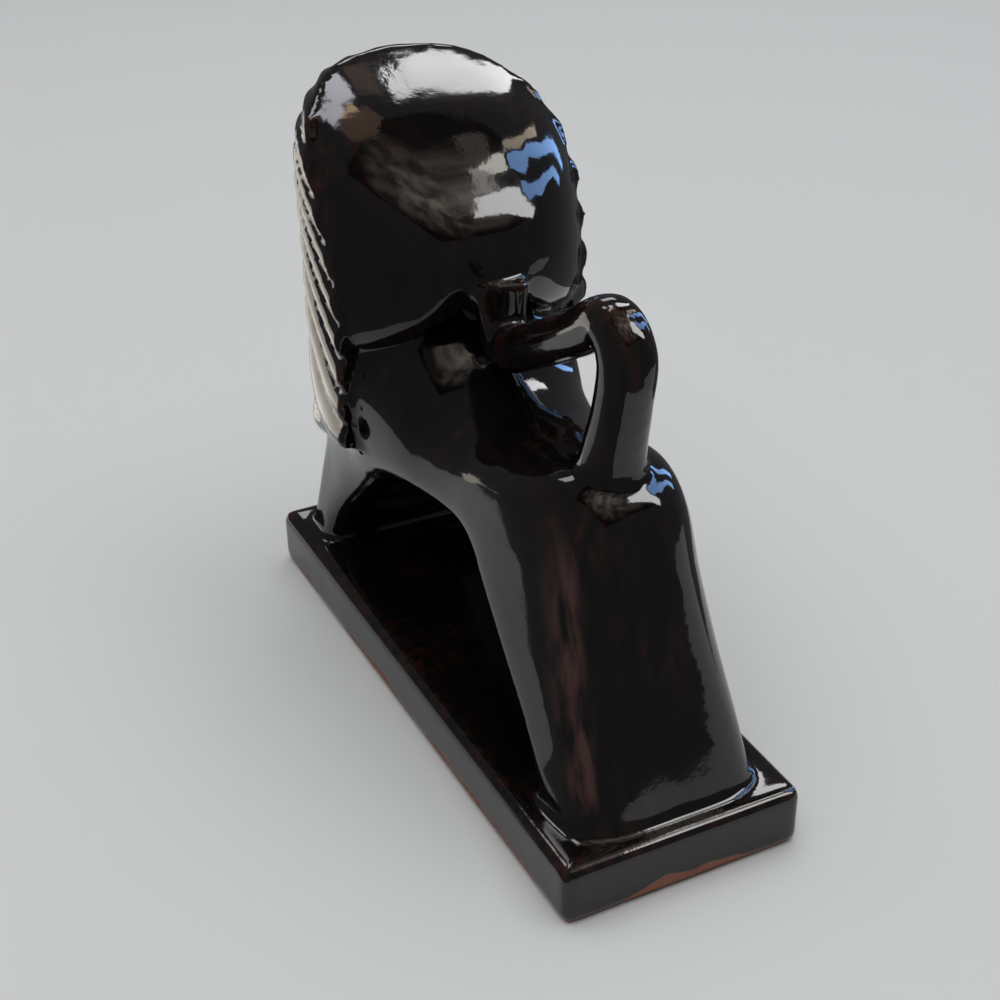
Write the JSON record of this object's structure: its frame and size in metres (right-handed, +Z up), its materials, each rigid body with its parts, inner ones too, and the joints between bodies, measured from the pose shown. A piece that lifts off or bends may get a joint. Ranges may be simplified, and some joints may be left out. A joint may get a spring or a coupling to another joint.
{
  "type": "lion figurine",
  "caption": "Black glazed ceramic figurine of a standing stylised lion, arched between slanting legs, with a raised hooked tail and ribbed mane, on a long low plinth.",
  "frame": {"origin": "middle of the underside of the plinth", "axes": "+X along the plinth towards the lion's head, +Y the lion's left, +Z up"},
  "size_m": [0.241, 0.099, 0.2171],
  "materials": {
    "black_glaze": "glossy black glaze over red-brown earthenware, brown where it runs thin"
  },
  "bodies": {
    "root": {"lion_on_plinth": "black_glaze"}
  },
  "joints": []
}
